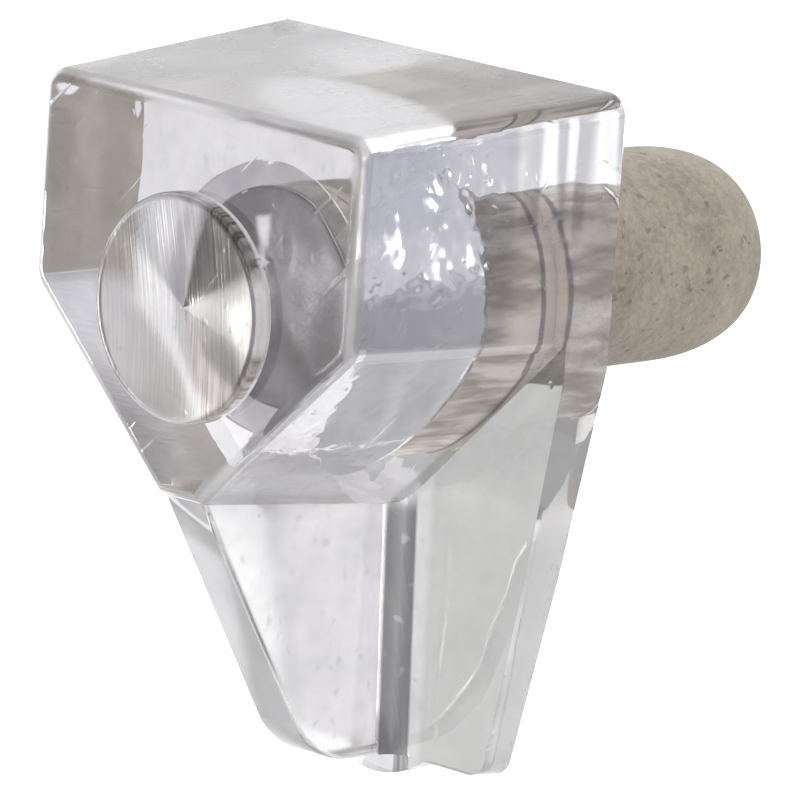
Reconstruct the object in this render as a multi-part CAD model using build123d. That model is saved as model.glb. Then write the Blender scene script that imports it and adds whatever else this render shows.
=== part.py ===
from build123d import *
import math
import os

os.makedirs("parts", exist_ok=True)

# Shelf support pin, all sizes in millimetres.
# X is the width, +Y points into the cabinet side and +Z is up.
# The origin lies on the axis of the pin, in the plane of the cabinet side.

# Metal pin
PIN_DIAMETER = 5.0
PIN_REACH = 9.1
PIN_SEAT = 2.6
PIN_NOSE_LENGTH = 2.3
PIN_NOSE_FLAT = 3.3
PIN_ROOT_LENGTH = 1.0
PIN_ROOT_DIAMETER = 4.86
PIN_ROOT_FLAT = 4.0

# Block that carries the shelf, measured at its front face; its corners are widest at the rear
BLOCK_DEPTH = 7.7
BLOCK_FRONT_WIDTH = 10.15
BLOCK_FRONT_TOP = 4.62
SHOULDER_DROP = 0.23
VEE_ANGLE = 43.2
DRAFT = 4.0
TOP_CORNER_REAR = 0.95
SHOULDER_ROUND_REAR = 0.85
FRONT_EDGE_ROUND = 0.25

# Round raised pad on the front face
PAD_DIAMETER = 5.15
PAD_HEIGHT = 0.5
PAD_EDGE_ROUND = 0.2

# Web under the block
WEB_THICKNESS = 1.3
WEB_TOE_REACH = 3.42
WEB_BOTTOM = 10.86
WEB_TOE_RADIUS = 2.1
WEB_FOOT_FILLET = 0.5

# Back plate against the cabinet side
PLATE_BOTTOM = 10.93
PLATE_FOOT_WIDTH = 6.9
PLATE_SHOULDER_DROP = 1.1
PLATE_THICKNESS_TOP = 1.35
PLATE_THICKNESS_FOOT = 0.78
PLATE_CORNER = 0.45
PLATE_BOW = 0.09
LIP_WIDTH = 3.0
LIP_DROP = 0.5

# How far one solid runs into its neighbour before the two are joined
JOIN = 0.6


def grown(distance):
    """Extra size that the draft adds over a distance."""
    return distance * math.tan(math.radians(DRAFT))


def block_outline(behind_front):
    """Corner points of the five sided block, a given distance behind its front face."""
    half = BLOCK_FRONT_WIDTH / 2 + grown(behind_front)
    top = BLOCK_FRONT_TOP + grown(behind_front)
    slope = math.tan(math.radians(VEE_ANGLE))
    sink = grown(behind_front) / math.cos(math.radians(VEE_ANGLE))
    web = WEB_THICKNESS / 2
    tip = -SHOULDER_DROP - (BLOCK_FRONT_WIDTH / 2 - web) * slope - sink
    shoulder = tip + (half - web) * slope
    return half, top, shoulder, web, tip


def block():
    """Block drawn at its rear face and drafted towards the front, with its raised pad."""
    half, top, shoulder, web, tip = block_outline(BLOCK_DEPTH)
    with BuildPart() as solid:
        with BuildSketch(Plane.XZ) as section:
            with BuildLine():
                Polyline(
                    (-half, top),
                    (half, top),
                    (half, shoulder),
                    (web, tip),
                    (-web, tip),
                    (-half, shoulder),
                    close=True,
                )
            make_face()
            corners = section.vertices().filter_by_position(Axis.Y, top - 0.01, top + 0.01)
            fillet(corners, TOP_CORNER_REAR)
            corners = section.vertices().filter_by_position(Axis.Y, shoulder - 0.01, shoulder + 0.01)
            fillet(corners, SHOULDER_ROUND_REAR)
        extrude(amount=BLOCK_DEPTH)
        walls = [face for face in solid.faces() if abs(face.normal_at().Y) < 0.5]
        draft(walls, Plane.XZ, DRAFT)
        rim = solid.faces().sort_by(Axis.Y)[0].edges()
        tip_edge = rim.sort_by(Axis.Z)[0]
        fillet(rim - ShapeList([tip_edge]), FRONT_EDGE_ROUND)
        with BuildSketch(Plane.XZ.offset(BLOCK_DEPTH - PAD_HEIGHT)):
            Circle(PAD_DIAMETER / 2)
        extrude(amount=2 * PAD_HEIGHT)
        pad_edge = solid.edges().filter_by(GeomType.CIRCLE).sort_by(Axis.Y)[0]
        fillet(pad_edge, PAD_EDGE_ROUND)
    return solid.part


def plate():
    """Tapered back plate, thinner at its foot, with a lip under the web."""
    half, top, shoulder, web, tip = block_outline(BLOCK_DEPTH)
    foot = PLATE_FOOT_WIDTH / 2
    waist = (half + foot) / 2 + PLATE_BOW
    waist_height = -(PLATE_SHOULDER_DROP + PLATE_BOTTOM) / 2
    with BuildPart() as solid:
        with BuildSketch(Plane.XZ) as outline:
            with BuildLine():
                Line((LIP_WIDTH / 2, -PLATE_BOTTOM), (foot, -PLATE_BOTTOM))
                ThreePointArc(
                    (foot, -PLATE_BOTTOM),
                    (waist, waist_height),
                    (half, -PLATE_SHOULDER_DROP),
                )
                Polyline(
                    (half, -PLATE_SHOULDER_DROP),
                    (half, JOIN),
                    (-half, JOIN),
                    (-half, -PLATE_SHOULDER_DROP),
                )
                ThreePointArc(
                    (-half, -PLATE_SHOULDER_DROP),
                    (-waist, waist_height),
                    (-foot, -PLATE_BOTTOM),
                )
                Line((-foot, -PLATE_BOTTOM), (-LIP_WIDTH / 2, -PLATE_BOTTOM))
                ThreePointArc(
                    (-LIP_WIDTH / 2, -PLATE_BOTTOM),
                    (0, -PLATE_BOTTOM - LIP_DROP),
                    (LIP_WIDTH / 2, -PLATE_BOTTOM),
                )
            make_face()
            toes = outline.vertices().filter_by_position(Axis.X, foot - 0.01, foot + 0.01)
            toes += outline.vertices().filter_by_position(Axis.X, -foot - 0.01, -foot + 0.01)
            fillet(toes, PLATE_CORNER)
        extrude(amount=PLATE_THICKNESS_TOP + JOIN, taper=DRAFT)
        with BuildSketch(Plane.YZ) as side:
            with BuildLine():
                Polyline(
                    (0, JOIN),
                    (-PLATE_THICKNESS_TOP, JOIN),
                    (-PLATE_THICKNESS_FOOT, -PLATE_BOTTOM - LIP_DROP),
                    (0, -PLATE_BOTTOM - LIP_DROP),
                    close=True,
                )
            make_face()
        extrude(amount=BLOCK_FRONT_WIDTH, both=True, mode=Mode.INTERSECT)
    return solid.part


def web_plate():
    """Web that runs from the keel of the block down to the foot of the back plate."""
    half, top, shoulder, web, tip = block_outline(0.0)
    front = -BLOCK_DEPTH + FRONT_EDGE_ROUND
    toe = -WEB_TOE_REACH
    with BuildPart() as solid:
        with BuildSketch(Plane.YZ) as side:
            with BuildLine():
                Polyline(
                    (front, tip),
                    (toe, -WEB_BOTTOM),
                    (-PLATE_THICKNESS_FOOT / 2, -WEB_BOTTOM),
                    (-PLATE_THICKNESS_FOOT / 2, tip + JOIN),
                    (front, tip + JOIN),
                    close=True,
                )
            make_face()
            knee = side.vertices().filter_by_position(Axis.X, toe - 0.01, toe + 0.01)
            fillet(knee, WEB_TOE_RADIUS)
        extrude(amount=WEB_THICKNESS / 2, both=True)
    return solid.part


def pin():
    """Metal pin with a long rounded nose and a short rounded end inside the block."""
    radius = PIN_DIAMETER / 2
    root = PIN_ROOT_DIAMETER / 2
    with BuildPart() as solid:
        with BuildSketch(Plane.YZ) as profile:
            with BuildLine():
                Polyline(
                    (PIN_REACH, PIN_NOSE_FLAT / 2),
                    (PIN_REACH, 0),
                    (-PIN_SEAT, 0),
                    (-PIN_SEAT, PIN_ROOT_FLAT / 2),
                )
                EllipticalCenterArc(
                    (-PIN_SEAT + PIN_ROOT_LENGTH, PIN_ROOT_FLAT / 2),
                    PIN_ROOT_LENGTH,
                    root - PIN_ROOT_FLAT / 2,
                    start_angle=90,
                    arc_size=90,
                )
                Polyline(
                    (-PIN_SEAT + PIN_ROOT_LENGTH, root),
                    (0, radius),
                    (PIN_REACH - PIN_NOSE_LENGTH, radius),
                )
                EllipticalCenterArc(
                    (PIN_REACH - PIN_NOSE_LENGTH, PIN_NOSE_FLAT / 2),
                    PIN_NOSE_LENGTH,
                    radius - PIN_NOSE_FLAT / 2,
                    start_angle=0,
                    arc_size=90,
                )
            make_face()
        revolve(axis=Axis.Y)
    return solid.part


def body():
    """Clear moulding around the seated end of the pin."""
    with BuildPart() as solid:
        add(block())
        add(plate())
        add(web_plate())
        junction = []
        for edge in solid.edges().filter_by(GeomType.LINE):
            middle = edge @ 0.5
            upright = abs((edge % 0.5).Z) > 0.9
            beside_web = abs(abs(middle.X) - WEB_THICKNESS / 2) < 0.02
            at_plate = -PLATE_THICKNESS_TOP - 0.05 < middle.Y < -PLATE_THICKNESS_FOOT + 0.05
            if upright and beside_web and at_plate:
                junction.append(edge)
        fillet(junction, WEB_FOOT_FILLET)
        add(pin(), mode=Mode.SUBTRACT)
    return solid.part


clear_body = body()
clear_body.label = "clear_body"
metal_pin = pin()
metal_pin.label = "metal_pin"

export_step(clear_body, "parts/clear_body.step")
export_step(metal_pin, "parts/metal_pin.step")
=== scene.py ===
import math

import bpy
from mathutils import Matrix, Vector


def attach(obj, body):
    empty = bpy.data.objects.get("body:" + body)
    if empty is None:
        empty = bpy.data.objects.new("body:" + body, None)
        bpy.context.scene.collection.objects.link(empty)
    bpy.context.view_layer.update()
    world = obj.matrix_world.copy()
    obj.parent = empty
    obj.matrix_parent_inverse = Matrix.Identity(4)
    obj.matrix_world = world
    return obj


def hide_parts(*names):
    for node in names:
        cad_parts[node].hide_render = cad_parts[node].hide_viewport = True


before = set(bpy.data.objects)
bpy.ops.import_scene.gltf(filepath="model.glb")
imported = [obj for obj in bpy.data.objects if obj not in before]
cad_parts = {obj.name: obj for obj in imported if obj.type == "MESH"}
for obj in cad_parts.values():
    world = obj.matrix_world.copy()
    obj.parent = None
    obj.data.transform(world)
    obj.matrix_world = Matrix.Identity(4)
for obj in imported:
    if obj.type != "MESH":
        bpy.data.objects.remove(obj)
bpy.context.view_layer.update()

# Sizes are in millimetres, and a finished piece is brought to metres at the end.
# X is the width, +Y points into the cabinet side, +Z is up and the pin's axis is the Y axis.

# Block that carries the shelf, measured at its front face
DEPTH = 7.7
HALF_WIDTH = 5.075
TOP = 4.62
SHOULDER = -0.23
VEE = math.radians(43.2)
DRAFT = math.radians(4.0)
TOP_CORNER_ROUND = 0.55
SHOULDER_ROUND = 0.3
FRONT_RIM_ROUND = 0.32
KEEL_ROUND = 0.06
REAR_RIM_ROUND = 0.12

# Round pad on the front face, with a shallow dish
PAD_RADIUS = 2.6
PAD_RISE = 0.42
PAD_EDGE_ROUND = 0.12
PAD_RIM = 0.08
DISH_WIDTH = 2.15
DISH_DEPTH = 0.24

# Web under the block
WEB_HALF = 0.65
WEB_FRONT = -DEPTH + 0.25
WEB_REAR = -0.3
WEB_FOOT = -10.86
WEB_LEAN = math.radians(58.1)
WEB_TOE_RADIUS = 2.1
WEB_EDGE_ROUND = 0.12
COVE_RADIUS = 0.5

# Back plate, with a small lip at its foot
PLATE_TOP = 0.6
PLATE_SHOULDER = -1.07
PLATE_WAIST = -6.0
PLATE_FOOT = -10.93
PLATE_FOOT_HALF = 3.45
PLATE_BOW = 0.09
PLATE_THICKNESS_TOP = 1.35
PLATE_THICKNESS_FOOT = 0.78
PLATE_TOE_ROUND = 0.4
TAPER_FOOT = -11.43
LIP_RADIUS = 2.5
LIP_DROP = 0.495

# Metal pin
PIN_RADIUS = 2.5
PIN_REACH = 9.1
PIN_NOSE_LENGTH = 2.3
PIN_NOSE_FLAT = 1.665
PIN_SEAT = 2.6
PIN_SEAT_ROUND = 0.2
GAP_RADIUS = 3.1

# Sizes that follow from the ones above
KEEL = SHOULDER - (HALF_WIDTH - WEB_HALF) * math.tan(VEE)
REAR_HALF = HALF_WIDTH + DEPTH * math.tan(DRAFT)
REAR_TOP = TOP + DEPTH * math.tan(DRAFT)
PLATE_TAPER = (PLATE_THICKNESS_TOP - PLATE_THICKNESS_FOOT) / (PLATE_TOP - TAPER_FOOT)

# Light and dark areas of the studio: direction, tightness and strength
STUDIO_PATCHES = [
    ((-1, 0, 1), 8, 2.0),
    ((0, 0, -1), 4, -0.45),
    ((1, 0, 0), 8, 0.9),
    ((-1, 0, 0), 8, -0.5),
    ((1, 0, -1), 8, -0.5),
    ((1, 1, 1), 8, -0.5),
    ((0, 1, 1), 8, 0.8),
    ((-1, -1, -0.35), 24, 0.3),
    ((1, -1, 0.5), 16, 0.6),
    ((0, -1, 1), 6, -0.2),
    ((-1, -1, 1), 6, -0.25),
    ((0, 0, 1), 8, -0.35),
    ((1, -1, -1), 6, -0.35),
    ((0, -1, -1), 8, -0.3),
]


def select_none():
    """Leave nothing selected."""
    if bpy.context.object and bpy.context.object.mode != "OBJECT":
        bpy.ops.object.mode_set(mode="OBJECT")
    bpy.ops.object.select_all(action="DESELECT")


def pick(piece):
    """Make one piece the selected and active one."""
    select_none()
    piece.select_set(True)
    bpy.context.view_layer.objects.active = piece


def cube(name, low, high):
    """Box between two corners."""
    select_none()
    middle = [(a + b) / 2 for a, b in zip(low, high)]
    bpy.ops.mesh.primitive_cube_add(size=1, location=middle)
    piece = bpy.context.object
    piece.scale = [b - a for a, b in zip(low, high)]
    bpy.ops.object.transform_apply(location=True, rotation=True, scale=True)
    piece.name = name
    return piece


def round_bar(name, radius, front, rear, height=0.0):
    """Round bar along Y."""
    select_none()
    bpy.ops.mesh.primitive_cylinder_add(
        vertices=160,
        radius=radius,
        depth=rear - front,
        location=(0, (front + rear) / 2, height),
        rotation=(math.pi / 2, 0, 0),
    )
    piece = bpy.context.object
    bpy.ops.object.transform_apply(location=True, rotation=True, scale=True)
    piece.name = name
    return piece


def trim(piece, point, outward):
    """Cut off what lies on the outward side of a plane and close the cut."""
    pick(piece)
    bpy.ops.object.mode_set(mode="EDIT")
    bpy.ops.mesh.select_all(action="SELECT")
    bpy.ops.mesh.bisect(
        plane_co=point, plane_no=outward, use_fill=True, clear_outer=True, threshold=1e-5
    )
    bpy.ops.object.mode_set(mode="OBJECT")


def round_edges(piece, chosen, offset, segments):
    """Round the edges for which chosen(end_a, end_b) holds."""
    pick(piece)
    bpy.ops.object.mode_set(mode="EDIT")
    bpy.ops.mesh.select_mode(type="EDGE")
    bpy.ops.mesh.select_all(action="DESELECT")
    bpy.ops.object.mode_set(mode="OBJECT")
    points = piece.data.vertices
    for edge in piece.data.edges:
        end_a, end_b = [points[spot].co for spot in edge.vertices]
        edge.select = bool(chosen(end_a, end_b))
    bpy.ops.object.mode_set(mode="EDIT")
    bpy.ops.mesh.bevel(offset=offset, segments=segments, affect="EDGES", clamp_overlap=True)
    bpy.ops.object.mode_set(mode="OBJECT")


def combine(piece, other, how):
    """Join another solid to a piece, or cut it out of the piece."""
    pick(piece)
    cut = piece.modifiers.new("cut", "BOOLEAN")
    cut.operation = how
    cut.object = other
    cut.solver = "EXACT"
    bpy.ops.object.modifier_apply(modifier="cut")
    bpy.data.objects.remove(other)


def near(value, target, within=0.02):
    """True where a value is close to a target."""
    return abs(value - target) < within


def carrying_block():
    """Drafted block with a V underside, rounded long corners and rounded rims."""
    piece = cube("moulding", (-8, -DEPTH, -8), (8, 0, 8))
    for side in (1, -1):
        corner = (side * HALF_WIDTH, -DEPTH, SHOULDER)
        trim(piece, corner, (side * math.cos(DRAFT), -math.sin(DRAFT), 0))
        trim(piece, corner, (side * math.sin(VEE), -math.tan(DRAFT), -math.cos(VEE)))
    trim(piece, (0, -DEPTH, TOP), (0, -math.sin(DRAFT), math.cos(DRAFT)))
    trim(piece, (0, -DEPTH, KEEL), (0, -math.tan(DRAFT) / math.cos(VEE), -1))

    def lengthwise(a, b):
        return abs(a.y - b.y) > DEPTH - 0.5

    def top_corner(a, b):
        return lengthwise(a, b) and a.z > 3

    def shoulder(a, b):
        return lengthwise(a, b) and abs(a.x) > 4 and a.z < 0

    def front_rim(a, b):
        return near(a.y, -DEPTH) and near(b.y, -DEPTH)

    def keel(a, b):
        return lengthwise(a, b) and a.z < -3

    def rear_rim(a, b):
        return near(a.y, 0) and near(b.y, 0) and (a.z > -1 or abs(a.x) > 4)

    round_edges(piece, top_corner, TOP_CORNER_ROUND, 8)
    round_edges(piece, shoulder, SHOULDER_ROUND, 7)
    round_edges(piece, front_rim, FRONT_RIM_ROUND, 6)
    round_edges(piece, keel, KEEL_ROUND, 2)
    round_edges(piece, rear_rim, REAR_RIM_ROUND, 3)
    return piece


def back_plate():
    """Tapered plate against the cabinet side, thinner at its foot, with a small lip."""
    piece = cube("plate", (-REAR_HALF, -1.6, PLATE_FOOT), (REAR_HALF, 0, PLATE_TOP))
    trim(piece, (0, -PLATE_THICKNESS_TOP, PLATE_TOP), (0, -1, -PLATE_TAPER))
    draft = math.tan(DRAFT)
    shoulder = (REAR_HALF, PLATE_SHOULDER)
    waist = ((REAR_HALF + PLATE_FOOT_HALF) / 2 + PLATE_BOW, PLATE_WAIST)
    foot = (PLATE_FOOT_HALF, PLATE_FOOT)
    for side in (1, -1):
        trim(piece, (side * REAR_HALF, 0, 0), (side, -draft, 0))
        for (high_half, high), (low_half, low) in ((shoulder, waist), (waist, foot)):
            lean = (high_half - low_half) / (high - low)
            trim(piece, (side * high_half, 0, high), (side, -draft, -lean))
    trim(piece, (0, 0, PLATE_FOOT), (0, -draft, -1))
    lip = round_bar("lip", LIP_RADIUS, -PLATE_THICKNESS_FOOT, 0, PLATE_FOOT - LIP_DROP + LIP_RADIUS)
    trim(lip, (0, 0, PLATE_FOOT + 0.6), (0, 0, 1))

    def toe(a, b):
        at_foot = near(a.z, PLATE_FOOT, 0.1) and near(b.z, PLATE_FOOT, 0.1)
        return at_foot and near(a.x, b.x, 0.1) and abs(a.x) > 3

    round_edges(piece, toe, PLATE_TOE_ROUND, 6)
    combine(piece, lip, "UNION")
    return piece


def centre_web():
    """Web that runs from the keel of the block down to the foot of the plate."""
    sunk = KEEL + 0.5
    piece = cube("web", (-WEB_HALF, WEB_FRONT, WEB_FOOT), (WEB_HALF, WEB_REAR, sunk))
    trim(piece, (0, WEB_FRONT, KEEL), (0, -math.sin(WEB_LEAN), -math.cos(WEB_LEAN)))

    def knee(a, b):
        return near(a.z, WEB_FOOT) and near(b.z, WEB_FOOT) and near(a.y, b.y) and a.y < -2

    def outer(a, b):
        same_side = near(abs(a.x), WEB_HALF) and near(a.x, b.x)
        on_edge = max(a.z, b.z) < sunk + 0.02 and (a.y < -1 or b.y < -1)
        top_edge = near(a.z, b.z) and a.z > sunk - 0.1
        return same_side and on_edge and not top_edge

    round_edges(piece, knee, WEB_TOE_RADIUS * math.tan(WEB_LEAN / 2), 18)
    round_edges(piece, outer, WEB_EDGE_ROUND, 3)
    return piece


def web_cove():
    """Hollow fillet between the web and the front of the plate, on the right of the web."""
    middle = -7.5
    face = -PLATE_THICKNESS_TOP + PLATE_TAPER * (PLATE_TOP - middle)
    outer = WEB_HALF + COVE_RADIUS
    piece = cube("cove", (WEB_HALF - 0.1, face - COVE_RADIUS, -11.5), (outer, face + 0.2, -4.2))
    select_none()
    bpy.ops.mesh.primitive_cylinder_add(
        vertices=96, radius=COVE_RADIUS, depth=12, location=(outer, face - COVE_RADIUS, middle)
    )
    combine(piece, bpy.context.object, "DIFFERENCE")
    pick(piece)
    lean = Matrix.Rotation(math.atan(PLATE_TAPER), 4, "X")
    about = Vector((0, face, middle))
    piece.data.transform(Matrix.Translation(about) @ lean @ Matrix.Translation(-about))
    trim(piece, (0, 0, WEB_FOOT), (0, 0, -1))
    return piece


def dish(piece, level):
    """Shallow cone sunk into the round face of a piece at one level along Y."""
    pick(piece)
    bpy.ops.object.mode_set(mode="EDIT")
    bpy.ops.mesh.select_mode(type="FACE")
    bpy.ops.mesh.select_all(action="DESELECT")
    bpy.ops.object.mode_set(mode="OBJECT")
    for face in piece.data.polygons:
        face.select = near(face.center.y, level, 0.001) and len(face.vertices) > 8
    bpy.ops.object.mode_set(mode="EDIT")
    bpy.ops.mesh.inset(thickness=PAD_RIM)
    bpy.ops.mesh.inset(thickness=DISH_WIDTH)
    bpy.ops.transform.translate(value=(0, DISH_DEPTH, 0))
    bpy.ops.mesh.inset(thickness=0.1)
    bpy.ops.object.mode_set(mode="OBJECT")


def raised_pad():
    """Round pad with a rounded rim and a shallow dish."""
    level = -DEPTH - PAD_RISE
    piece = round_bar("pad", PAD_RADIUS, level, -DEPTH + 0.3)

    def rim(a, b):
        return near(a.y, level) and near(b.y, level)

    round_edges(piece, rim, PAD_EDGE_ROUND, 4)
    dish(piece, level)
    return piece


def clear_moulding():
    """The whole clear moulding, with its hole and a thin gap at the pin's inner end."""
    piece = carrying_block()
    lower = back_plate()
    combine(lower, centre_web(), "UNION")
    combine(lower, web_cove(), "UNION")
    combine(piece, lower, "UNION")
    combine(piece, raised_pad(), "UNION")
    hole = round_bar("hole", PIN_RADIUS - 0.01, -PIN_SEAT + 0.06, 1)
    gap = round_bar("gap", GAP_RADIUS, -PIN_SEAT - 0.02, -PIN_SEAT + 0.07)
    combine(hole, gap, "UNION")
    combine(piece, hole, "DIFFERENCE")
    return piece


def pin_profile():
    """Places along the pin and its radius there, from the inner end to the tip of the nose."""
    seat_end = -PIN_SEAT + PIN_SEAT_ROUND
    nose_start = PIN_REACH - PIN_NOSE_LENGTH
    profile = []
    for step in range(7):
        turn = math.radians(15 * step)
        along = seat_end - PIN_SEAT_ROUND * math.cos(turn)
        profile.append((along, PIN_RADIUS - PIN_SEAT_ROUND + PIN_SEAT_ROUND * math.sin(turn)))
    for step in range(1, 24):
        profile.append((seat_end + step * (nose_start - seat_end) / 24, PIN_RADIUS))
    for step in range(13):
        turn = math.radians(7.5 * step)
        along = nose_start + PIN_NOSE_LENGTH * math.sin(turn)
        profile.append((along, PIN_NOSE_FLAT + (PIN_RADIUS - PIN_NOSE_FLAT) * math.cos(turn)))
    return profile


def pin_solid():
    """Metal pin with a long rounded nose and a short rounded inner end."""
    profile = pin_profile()
    start, start_radius = profile[0]
    select_none()
    bpy.ops.mesh.primitive_circle_add(
        vertices=160,
        radius=start_radius,
        fill_type="NGON",
        location=(0, start, 0),
        rotation=(math.pi / 2, 0, 0),
    )
    piece = bpy.context.object
    bpy.ops.object.transform_apply(location=True, rotation=True, scale=True)
    bpy.ops.object.mode_set(mode="EDIT")
    bpy.ops.mesh.select_all(action="SELECT")
    for before, after in zip(profile, profile[1:]):
        move = {"value": (0, after[0] - before[0], 0)}
        bpy.ops.mesh.extrude_region_move(TRANSFORM_OT_translate=move)
        grow = after[1] / before[1]
        bpy.ops.transform.resize(value=(grow, 1, grow), center_override=(0, after[0], 0))
    for ring in range(3):
        bpy.ops.mesh.inset(thickness=0.4)
    bpy.ops.object.mode_set(mode="OBJECT")
    piece.name = "pin"
    return piece


def finish_piece(piece, name, angle, node):
    """Bring a piece to metres, shade it, and hang it on the frame in place of its node."""
    pick(piece)
    bpy.ops.object.mode_set(mode="EDIT")
    bpy.ops.mesh.select_all(action="SELECT")
    bpy.ops.mesh.remove_doubles(threshold=0.0005)
    bpy.ops.mesh.dissolve_degenerate(threshold=0.0005)
    bpy.ops.mesh.normals_make_consistent(inside=False)
    bpy.ops.object.mode_set(mode="OBJECT")
    piece.scale = (0.001, 0.001, 0.001)
    bpy.ops.object.transform_apply(location=True, rotation=True, scale=True)
    bpy.ops.object.shade_smooth_by_angle(angle=math.radians(angle))
    even = piece.modifiers.new("even", "WEIGHTED_NORMAL")
    even.keep_sharp = True
    even.weight = 100
    bpy.ops.object.modifier_apply(modifier="even")
    piece.name = name
    piece.data.name = name
    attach(piece, "root")
    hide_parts(node)
    return piece


def new_material(name):
    """Empty material with its tree and its shader."""
    material = bpy.data.materials.new(name)
    material.use_nodes = True
    tree = material.node_tree
    return material, tree, tree.nodes["Principled BSDF"]


def calc(tree, how, first, second=None, clamp=False):
    """Math node. Each term is a number or an output."""
    made = tree.nodes.new("ShaderNodeMath")
    made.operation = how
    made.use_clamp = clamp
    for spot, term in enumerate((first, second)):
        if isinstance(term, (int, float)):
            made.inputs[spot].default_value = term
        elif term is not None:
            tree.links.new(term, made.inputs[spot])
    return made.outputs[0]


def product(tree, *terms):
    """Terms multiplied with each other."""
    result = terms[0]
    for term in terms[1:]:
        result = calc(tree, "MULTIPLY", result, term)
    return result


def weighed(tree, base, *parts):
    """Base plus each part, which is a value and its weight."""
    for value, weight in parts:
        base = calc(tree, "ADD", base, product(tree, value, weight))
    return base


def stretch(tree, place, amounts, turn=(0, 0, 0)):
    """Place turned and then scaled per axis."""
    if any(turn):
        turned = tree.nodes.new("ShaderNodeMapping")
        tree.links.new(place, turned.inputs["Vector"])
        turned.inputs["Rotation"].default_value = turn
        place = turned.outputs[0]
    made = tree.nodes.new("ShaderNodeVectorMath")
    made.operation = "MULTIPLY"
    tree.links.new(place, made.inputs[0])
    made.inputs[1].default_value = amounts
    return made.outputs[0]


def place_on_object(tree):
    """Place on the object in millimetres."""
    place = tree.nodes.new("ShaderNodeTexCoord").outputs["Object"]
    return stretch(tree, place, (1000, 1000, 1000))


def split(tree, place):
    """Place taken apart into across, along and up."""
    made = tree.nodes.new("ShaderNodeSeparateXYZ")
    tree.links.new(place, made.inputs[0])
    return made.outputs


def facing(tree, place, direction):
    """How far a place lies in a direction."""
    made = tree.nodes.new("ShaderNodeVectorMath")
    made.operation = "DOT_PRODUCT"
    tree.links.new(place, made.inputs[0])
    made.inputs[1].default_value = Vector(direction).normalized()
    return made.outputs["Value"]


def noise(tree, place, scale, detail=2.0, rough=0.5, twist=0.0):
    """Noise value from 0 to 1."""
    made = tree.nodes.new("ShaderNodeTexNoise")
    tree.links.new(place, made.inputs["Vector"])
    made.inputs["Scale"].default_value = scale
    made.inputs["Detail"].default_value = detail
    made.inputs["Roughness"].default_value = rough
    made.inputs["Distortion"].default_value = twist
    return made.outputs[0]


def shaken(tree, place, scale, amount):
    """Place pushed about by a fine noise."""
    push = tree.nodes.new("ShaderNodeTexNoise")
    tree.links.new(place, push.inputs["Vector"])
    push.inputs["Scale"].default_value = scale
    push.inputs["Detail"].default_value = 0
    made = tree.nodes.new("ShaderNodeVectorMath")
    made.operation = "MULTIPLY_ADD"
    tree.links.new(push.outputs["Color"], made.inputs[0])
    made.inputs[1].default_value = (amount, amount, amount)
    tree.links.new(place, made.inputs[2])
    return made.outputs[0]


def ease(tree, value, start, end, low=0.0, high=1.0):
    """Smooth step of a value from low to high."""
    made = tree.nodes.new("ShaderNodeMapRange")
    made.interpolation_type = "SMOOTHSTEP"
    tree.links.new(value, made.inputs["Value"])
    made.inputs["From Min"].default_value = start
    made.inputs["From Max"].default_value = end
    made.inputs["To Min"].default_value = low
    made.inputs["To Max"].default_value = high
    return made.outputs[0]


def above(tree, value, level, soft):
    """Mask that is 0 up to a level and 1 from a soft step above it."""
    return ease(tree, value, level, level + soft)


def below(tree, value, level, soft):
    """Mask that is 1 up to a level and 0 from a soft step above it."""
    return ease(tree, value, level, level + soft, 1, 0)


def colours(tree, value, stops):
    """Colour ramp over (position, colour) stops."""
    made = tree.nodes.new("ShaderNodeValToRGB")
    tree.links.new(value, made.inputs[0])
    elements = made.color_ramp.elements
    for spot, (at, tone) in enumerate(stops):
        stop = elements[spot] if spot < 2 else elements.new(at)
        stop.position = at
        stop.color = (*tone, 1)
    return made.outputs[0]


def blend(tree, share, first, second):
    """Colour mix. Each colour is a triple or an output."""
    made = tree.nodes.new("ShaderNodeMix")
    made.data_type = "RGBA"
    for spot, term in ((0, share), (6, first), (7, second)):
        if isinstance(term, tuple):
            made.inputs[spot].default_value = (*term, 1)
        else:
            tree.links.new(term, made.inputs[spot])
    return made.outputs[2]


def painted(tree, tone, *coats):
    """Tone with coats laid over it. A coat is its mask, its strength and its colour."""
    for mask, strength, colour in coats:
        tone = blend(tree, product(tree, mask, strength), tone, colour)
    return tone


def sparse_marks(tree, place, share, size):
    """Small round marks in a share of the unit cells of a place."""
    cells = tree.nodes.new("ShaderNodeTexVoronoi")
    cells.inputs["Scale"].default_value = 1
    tree.links.new(place, cells.inputs["Vector"])
    chance = tree.nodes.new("ShaderNodeSeparateColor")
    tree.links.new(cells.outputs["Color"], chance.inputs[0])
    there = calc(tree, "LESS_THAN", chance.outputs[0], share)
    reach = calc(tree, "MULTIPLY", size, calc(tree, "ADD", chance.outputs[1], 0.4))
    depth = calc(tree, "DIVIDE", cells.outputs["Distance"], reach)
    inside = calc(tree, "SUBTRACT", 1.0, depth, clamp=True)
    return product(tree, there, calc(tree, "POWER", inside, 0.6))


def surface(tree, shader, height, distance):
    """Fine relief from a height. The distance is in metres."""
    made = tree.nodes.new("ShaderNodeBump")
    made.inputs["Strength"].default_value = 1.0
    made.inputs["Distance"].default_value = distance
    tree.links.new(height, made.inputs["Height"])
    tree.links.new(made.outputs[0], shader.inputs["Normal"])


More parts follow.
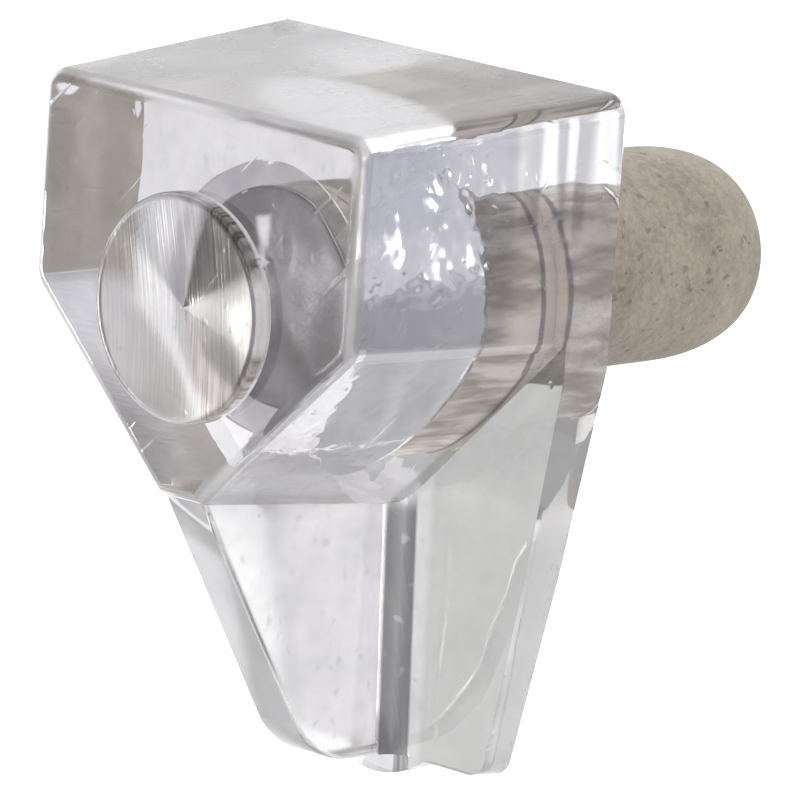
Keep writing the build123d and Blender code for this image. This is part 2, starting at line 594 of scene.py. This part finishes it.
class Moulding:
    """Masks of the faces and areas of the clear moulding, and the noises that mark them."""

    def __init__(self, tree):
        self.tree = tree
        self.place = place_on_object(tree)
        self.across, self.along, self.up = split(tree, self.place)
        drafted = product(tree, self.along, math.tan(DRAFT))
        self.leaned_out = calc(tree, "SUBTRACT", self.across, drafted)
        self.leaned_up = calc(tree, "SUBTRACT", self.up, drafted)
        self.low_down = below(tree, self.up, KEEL - 0.81, 0.8)
        self.block_faces()
        self.lower_parts()
        self.pad_painted_light_wedges()
        self.marks()

    def vee_face(self, side):
        """One slanted face of the V underside."""
        outward = Vector((side * math.sin(VEE), -math.tan(DRAFT), -math.cos(VEE)))
        level = outward.normalized().dot(Vector((side * HALF_WIDTH, -DEPTH, SHOULDER)))
        return above(self.tree, facing(self.tree, self.place, outward), level - 0.09, 0.02)

    def block_faces(self):
        """Faces of the block, and areas on them that get painted light or shade in the tone."""
        tree, across, along, up = self.tree, self.across, self.along, self.up
        self.on_top = above(tree, self.leaned_up, REAR_TOP - 0.108, 0.07)
        self.on_side = above(tree, self.leaned_out, REAR_HALF - 0.083, 0.06)
        self.left_vee = product(tree, self.vee_face(-1), below(tree, across, -1.2, 0.3))
        right_vee = product(tree, self.vee_face(1), above(tree, across, 0.9, 0.3))
        self.right_vee = product(tree, right_vee, below(tree, along, -1.8, 0.3))
        on_front = below(tree, along, -DEPTH, 0.1)
        self.high_front = product(tree, on_front, above(tree, up, 1.3, 0.4))
        self.left_front = product(tree, on_front, below(tree, across, -3.3, 0.5))
        self.side_front = product(tree, self.on_side, below(tree, along, -3.4, 0.8))
        nook = product(tree, self.on_side, below(tree, along, -5.6, 0.8))
        self.side_nook = product(tree, nook, above(tree, up, 2.2, 0.5))
        rear = product(tree, self.on_side, above(tree, along, -3.2, 0.6))
        self.side_rear = product(tree, rear, above(tree, up, 1.8, 0.6))
        radius = calc(tree, "SQRT", weighed(tree, product(tree, across, across), (up, up)))
        self.inner_end = product(tree, below(tree, radius, 3.2, 0.2), above(tree, along, -3.0, 0.3))
        side_edge = above(tree, self.leaned_out, 5.2, 0.2)
        edge = calc(tree, "MAXIMUM", side_edge, above(tree, self.leaned_up, 4.8, 0.2))
        self.front_edge = product(tree, edge, below(tree, along, -DEPTH + 0.25, 0.1))

    def lower_parts(self):
        """Web, plate and the cove between them, which gets a painted shadow."""
        tree, across, along, up = self.tree, self.across, self.along, self.up
        self.on_web = product(tree, self.low_down, below(tree, along, -1.7, 0.2))
        self.lower_left = product(tree, self.low_down, below(tree, across, -WEB_HALF - 0.05, 0.04))
        plate_right = product(tree, above(tree, along, -1.7, 0.2), above(tree, across, 0.9, 0.3))
        self.on_plate = product(tree, plate_right, below(tree, up, -1.4, 0.4))
        leaned_back = weighed(tree, along, (up, PLATE_TAPER))
        self.cove = product(
            tree,
            self.low_down,
            above(tree, leaned_back, -1.95, 0.15),
            above(tree, across, WEB_HALF - 0.05, 0.04),
            below(tree, across, WEB_HALF + 0.4, 0.1),
            below(tree, along, -0.6, 0.2),
        )

    def pad_painted_light_wedges(self):
        """The pad and its wedges of painted shade and painted highlight, which are given by their
        angle around the axis.
        """
        tree = self.tree
        self.on_pad = below(tree, self.along, -DEPTH - 0.15, 0.08)
        around = calc(tree, "ARCTAN2", self.up, self.across)

        def wedge(start, start_soft, end, end_soft):
            opening = above(tree, around, start, start_soft)
            return product(tree, opening, below(tree, around, end, end_soft))

        self.painted_shade_wedge = wedge(0.36, 0.2, 1.2, 0.25)
        self.painted_warm_shade_wedge = wedge(-1.3, 0.25, -0.3, 0.14)
        self.painted_cool_shade_wedge = wedge(1.35, 0.15, 2.3, 0.3)
        self.painted_highlight_wedge = wedge(-0.3, 0.14, 0.3, 0.2)

    def marks(self):
        """Waves, scratches, specks and lines of the surface, and the flow in its tone."""
        tree, place = self.tree, self.place
        self.waves = noise(tree, place, 0.4, 1.0)
        scratches = noise(tree, stretch(tree, place, (5.6, 0.33, 0.56), (0, -0.8, 0)), 1.0, 0.0)
        plain = calc(tree, "MAXIMUM", self.low_down, self.on_pad)
        scratched = calc(tree, "SUBTRACT", 1.0, product(tree, plain, 0.85))
        self.scratches = product(tree, above(tree, scratches, 0.74, 0.14), scratched)
        self.fine = noise(tree, place, 3.0, 0.0)
        self.specks = above(tree, self.fine, 0.7, 0.14)
        self.lines = noise(tree, stretch(tree, place, (15, 0.5, 0.42), (0, 0.13, 0)), 1.0, 1.0)
        self.flow = noise(tree, stretch(tree, place, (0.42, 0.26, 0.42)), 1.0, 3.0, 0.75)
        self.rays = noise(tree, stretch(tree, place, (0.3, 2.6, 0.25)), 1.0, 0.0)


def plastic_relief(tree, where):
    """Height of the plastic: soft waves, less scratches and specks, with crumbs and lines."""
    swell = calc(tree, "SUBTRACT", 1.7, where.low_down)
    crumbly_side = product(tree, where.on_side, below(tree, where.along, -4.2, 0.8))
    crumble = weighed(tree, product(tree, crumbly_side, 0.6), (where.right_vee, 0.15))
    speck_depth = weighed(tree, 0.04, (where.side_front, 0.22))
    pad_depth = ease(tree, where.across, -0.6, 0.6, 0.08, 0.03)
    line_depth = weighed(
        tree,
        product(tree, where.on_pad, pad_depth),
        (where.left_vee, 0.2),
        (where.cove, 0.5),
        (where.on_top, 0.06),
    )
    return weighed(
        tree,
        product(tree, where.waves, swell),
        (where.scratches, -0.09),
        (crumble, where.fine),
        (product(tree, where.specks, speck_depth), -1.0),
        (line_depth, where.lines),
    )


def pad_tone(tree, where):
    """Tone of the pad, with dark, warm and cool wedges of painted shade and a bright wedge of painted
    highlight.
    """
    lines = where.lines
    # Painted shade: the warm and dark colours for the wedges.
    warm = colours(tree, lines, ((0.36, (0.1, 0.07, 0.05)), (0.62, (0.6, 0.52, 0.46))))
    dark = colours(tree, lines, ((0.4, (0.006, 0.005, 0.004)), (0.7, (0.12, 0.11, 0.1))))
    return painted(
        tree,
        colours(tree, lines, ((0.38, (0.46, 0.45, 0.46)), (0.62, (0.6, 0.59, 0.6)))),
        # Painted shade in the cool, warm and dark wedges, and a painted highlight in the bright wedge.
        (where.painted_cool_shade_wedge, 0.85, (0.11, 0.11, 0.13)),
        (where.painted_warm_shade_wedge, 1.0, warm),
        (where.painted_highlight_wedge, 1.0, (1.0, 0.98, 0.95)),
        (where.painted_shade_wedge, 1.0, dark),
    )


def plastic_tone(tree, where):
    """Tone of the plastic, with painted light and shade per face: deeper where the view through a face
    is darker, lighter where it is lighter.
    """
    flow = where.flow
    web = colours(tree, flow, ((0.34, (0.66, 0.66, 0.67)), (0.62, (0.84, 0.83, 0.84))))
    rays = colours(tree, where.rays, ((0.4, (0.3, 0.3, 0.33)), (0.6, (0.95, 0.95, 1))))
    return painted(
        tree,
        colours(tree, flow, ((0.34, (0.5, 0.49, 0.52)), (0.62, (0.68, 0.67, 0.69)))),
        # Painted light and shade per area: the plate, side front, front top, side nook and top are
        # darkened; the web, lower left, left front and both V faces are lightened; the rear of the
        # side gets painted streaks of light and shade; the pad gets its painted wedges.
        (where.on_plate, 0.8, (0.34, 0.34, 0.33)),
        (where.on_web, 1.0, web),
        (where.lower_left, 1.0, (0.88, 0.87, 0.9)),
        (where.side_front, 0.95, (0.22, 0.215, 0.265)),
        (where.high_front, 0.8, (0.4, 0.39, 0.4)),
        (where.left_front, 0.6, (0.66, 0.68, 0.8)),
        (where.right_vee, 0.95, (0.9, 0.89, 0.94)),
        (where.left_vee, 0.6, (0.86, 0.85, 0.87)),
        (where.side_nook, 0.75, (0.15, 0.16, 0.22)),
        (where.side_rear, 1.0, rays),
        (where.on_top, 0.8, (0.34, 0.33, 0.345)),
        (where.on_pad, 1.0, pad_tone(tree, where)),
        # Painted shadow: the cove is nearly black.
        (where.cove, 0.93, (0.01, 0.01, 0.012)),
        (where.specks, 0.4, (0.3, 0.29, 0.3)),
    )


def plastic_haze(tree, where):
    """Roughness of the plastic, from nearly clear to frosted."""
    return weighed(
        tree,
        0.015,
        (where.scratches, 0.2),
        (where.on_top, 0.22),
        (where.left_vee, 0.4),
        (where.cove, 0.3),
        (where.on_pad, 0.18),
        (where.front_edge, 0.28),
        (where.on_web, 0.14),
        (where.inner_end, 0.03),
        (product(tree, where.painted_shade_wedge, where.on_pad), -0.12),
        (above(tree, where.flow, 0.4, 0.22), 0.05),
    )


def clear_plastic():
    """Clear moulded plastic, faintly lavender, with soft waves, scratches and specks."""
    material, tree, shader = new_material("clear plastic")
    where = Moulding(tree)
    surface(tree, shader, plastic_relief(tree, where), 0.00005)
    tree.links.new(plastic_tone(tree, where), shader.inputs["Base Color"])
    tree.links.new(plastic_haze(tree, where), shader.inputs["Roughness"])
    shader.inputs["IOR"].default_value = 1.585
    shader.inputs["Transmission Weight"].default_value = 1.0
    return material


def cast_in_painted_light_tone(tree, along, broad, streaks, cast_in, end_face):
    """Tone of the pin inside the plastic, with painted light and shade: bright streaks of painted
    light, dark rings of painted shade near both ends, and a light band of painted light at the mouth.
    """
    painted_shade_ring = (0.08, 0.07, 0.07)
    ends = colours(tree, broad, ((0.35, (0.42, 0.4, 0.39)), (0.62, (0.8, 0.78, 0.82))))
    painted_shade_end_ring = calc(tree, "SUBTRACT", below(tree, along, -2.42, 0.12), end_face, clamp=True)
    mouth = product(tree, cast_in, above(tree, along, -0.34, 0.06))
    up_to_mouth = product(tree, cast_in, above(tree, along, -0.5, 0.06))
    painted_shade_mouth_ring = calc(tree, "SUBTRACT", up_to_mouth, mouth, clamp=True)
    # Painted light and shade: bright streaks and a lighter end face, dark rings at the pin's front end
    # and inside the mouth, and a light band at the mouth.
    return painted(
        tree,
        colours(tree, streaks, ((0.36, (0.48, 0.41, 0.345)), (0.6, (1.0, 0.93, 0.84)))),
        (end_face, 1.0, ends),
        (painted_shade_end_ring, 0.8, painted_shade_ring),
        (painted_shade_mouth_ring, 0.7, painted_shade_ring),
        (mouth, 0.8, (0.8, 0.7, 0.6)),
    )


def pin_metal():
    """Dull warm grey metal with fine grain and dark pits, with painted light that makes it brighter
    and streaky where it is cast in.
    """
    material, tree, shader = new_material("dull pin metal")
    place = place_on_object(tree)
    along = split(tree, place)["Y"]
    cast_in = below(tree, along, -0.1, 0.3)
    end_face = below(tree, along, -PIN_SEAT + 0.03, 0.04)
    broad = noise(tree, place, 0.42, 2.0, 0.6)
    grain = noise(tree, place, 5.2, 3.0, 0.75, 0.6)
    streaks = noise(tree, stretch(tree, place, (2.3, 0.42, 2.3)), 1.0, 2.0, 0.65)
    pit_place = stretch(tree, shaken(tree, place, 6.0, 0.2), (4.3, 3.4, 4.3))
    bare = calc(tree, "SUBTRACT", 1.0, cast_in)
    pits = product(tree, sparse_marks(tree, pit_place, 0.2, 0.36), bare)
    mottle = weighed(tree, product(tree, broad, 0.45), (grain, 0.55))
    tone = painted(
        tree,
        colours(tree, mottle, ((0.36, (0.29, 0.25, 0.2)), (0.64, (0.53, 0.47, 0.395)))),
        # Painted light where the pin sits in the plastic.
        (cast_in, 1.0, cast_in_painted_light_tone(tree, along, broad, streaks, cast_in, end_face)),
        (pits, 0.7, (0.13, 0.11, 0.09)),
    )
    dullness = weighed(
        tree, 0.61, (cast_in, -0.28), (end_face, 0.25), (above(tree, grain, 0.3, 0.4), 0.14)
    )
    height = weighed(tree, grain, (product(tree, cast_in, streaks), 2.0), (pits, -1.0))
    tree.links.new(tone, shader.inputs["Base Color"])
    tree.links.new(weighed(tree, 0.2, (cast_in, 0.4)), shader.inputs["Metallic"])
    tree.links.new(dullness, shader.inputs["Roughness"])
    surface(tree, shader, height, 0.00003)
    return material


def dress(piece, material):
    """Give a piece one material."""
    piece.data.materials.clear()
    piece.data.materials.append(material)


def camera():
    """Camera at the photograph's viewing angle, fitted to the edges of the object."""
    turn, height, roll = 0.7666, 0.1976, 0.0705
    distance, aside, above_origin = 218.0379, -0.7193, -2.7669
    focal_pixels, picture_pixels = 9588.911, 800
    towards = Vector(
        (math.sin(turn) * math.cos(height), -math.cos(turn) * math.cos(height), math.sin(height))
    )
    flat_right = (-towards).cross(Vector((0, 0, 1))).normalized()
    flat_up = flat_right.cross(-towards)
    right = math.cos(roll) * flat_right + math.sin(roll) * flat_up
    up = math.cos(roll) * flat_up - math.sin(roll) * flat_right
    data = bpy.data.cameras.new("camera")
    data.sensor_width = 36
    data.lens = data.sensor_width * focal_pixels / picture_pixels
    data.clip_start = 0.01
    data.clip_end = 100
    eye = bpy.data.objects.new("camera", data)
    bpy.context.scene.collection.objects.link(eye)
    place = Matrix((right, up, towards)).transposed().to_4x4()
    place.translation = (distance * towards + aside * right + above_origin * up) * 0.001
    eye.matrix_world = place
    bpy.context.scene.camera = eye


def lamp(name, place, width, height, power, colour):
    """Soft flat lamp that looks at the object. Its place and sizes are in metres."""
    data = bpy.data.lights.new(name, "AREA")
    data.shape = "RECTANGLE"
    data.size = width
    data.size_y = height
    data.energy = power
    data.color = colour
    holder = bpy.data.objects.new(name, data)
    bpy.context.scene.collection.objects.link(holder)
    holder.location = place
    middle_of_object = Vector((0, 0, -0.002))
    looking = middle_of_object - Vector(place)
    holder.rotation_euler = looking.to_track_quat("-Z", "Y").to_euler()


def studio():
    """White surroundings with soft brighter and darker areas. The camera sees plain white."""
    world = bpy.data.worlds.new("studio")
    bpy.context.scene.world = world
    world.use_nodes = True
    world.cycles.sampling_method = "NONE"
    tree = world.node_tree
    back = tree.nodes["Background"]
    way = tree.nodes.new("ShaderNodeTexCoord").outputs["Generated"]
    behind_object = facing(tree, way, (-0.68, 0.706, -0.196))
    light = ease(tree, behind_object, 0.2, 0.75, 0.78, 1.0)
    for direction, tightness, strength in STUDIO_PATCHES:
        towards = calc(tree, "MAXIMUM", facing(tree, way, direction), 0.0)
        light = weighed(tree, light, (calc(tree, "POWER", towards, tightness), strength))
    light = calc(tree, "MAXIMUM", light, 0.04)
    path = tree.nodes.new("ShaderNodeLightPath")
    tone = tree.nodes.new("ShaderNodeMix")
    tree.links.new(path.outputs["Is Camera Ray"], tone.inputs[0])
    tree.links.new(light, tone.inputs[2])
    tone.inputs[3].default_value = 1.0
    tree.links.new(tone.outputs[0], back.inputs["Strength"])
    back.inputs["Color"].default_value = (1, 1, 1, 1)


def floor():
    """Pale floor below the object, which takes its shadow. Its size and place are in metres."""
    select_none()
    bpy.ops.mesh.primitive_grid_add(
        x_subdivisions=24, y_subdivisions=24, size=1.3, location=(0, 0, -0.06)
    )
    ground = bpy.context.object
    ground.name = "floor"
    ground.visible_diffuse = False
    material, tree, shader = new_material("pale paper")
    fibres = noise(tree, place_on_object(tree), 0.9, 0.0)
    paper = colours(tree, fibres, ((0.3, (0.88, 0.88, 0.88)), (0.7, (0.92, 0.92, 0.92))))
    tree.links.new(paper, shader.inputs["Base Color"])
    shader.inputs["Roughness"].default_value = 0.9
    path = tree.nodes.new("ShaderNodeLightPath").outputs
    seen_through = calc(tree, "MAXIMUM", path["Is Glossy Ray"], path["Is Transmission Ray"])
    seen_directly = product(tree, path["Is Camera Ray"], 0.45)
    glow = calc(tree, "MAXIMUM", seen_directly, product(tree, seen_through, 0.4))
    tree.links.new(glow, shader.inputs["Emission Color"])
    shader.inputs["Emission Strength"].default_value = 1.0
    dress(ground, material)


body = finish_piece(clear_moulding(), "clear_moulding", 30, "clear_body")
dress(body, clear_plastic())
pin = finish_piece(pin_solid(), "pitted_pin", 30, "metal_pin")
dress(pin, pin_metal())

camera()
studio()
floor()
lamp("left lamp", (-0.162, -0.11, -0.042), 0.042, 0.018, 0.085, (1, 0.97, 0.92))
bpy.context.scene.view_settings.view_transform = "Standard"
bpy.context.scene.cycles.max_bounces = 12
bpy.context.scene.cycles.transmission_bounces = 12
bpy.context.scene.cycles.glossy_bounces = 12
bpy.context.scene.cycles.diffuse_bounces = 1
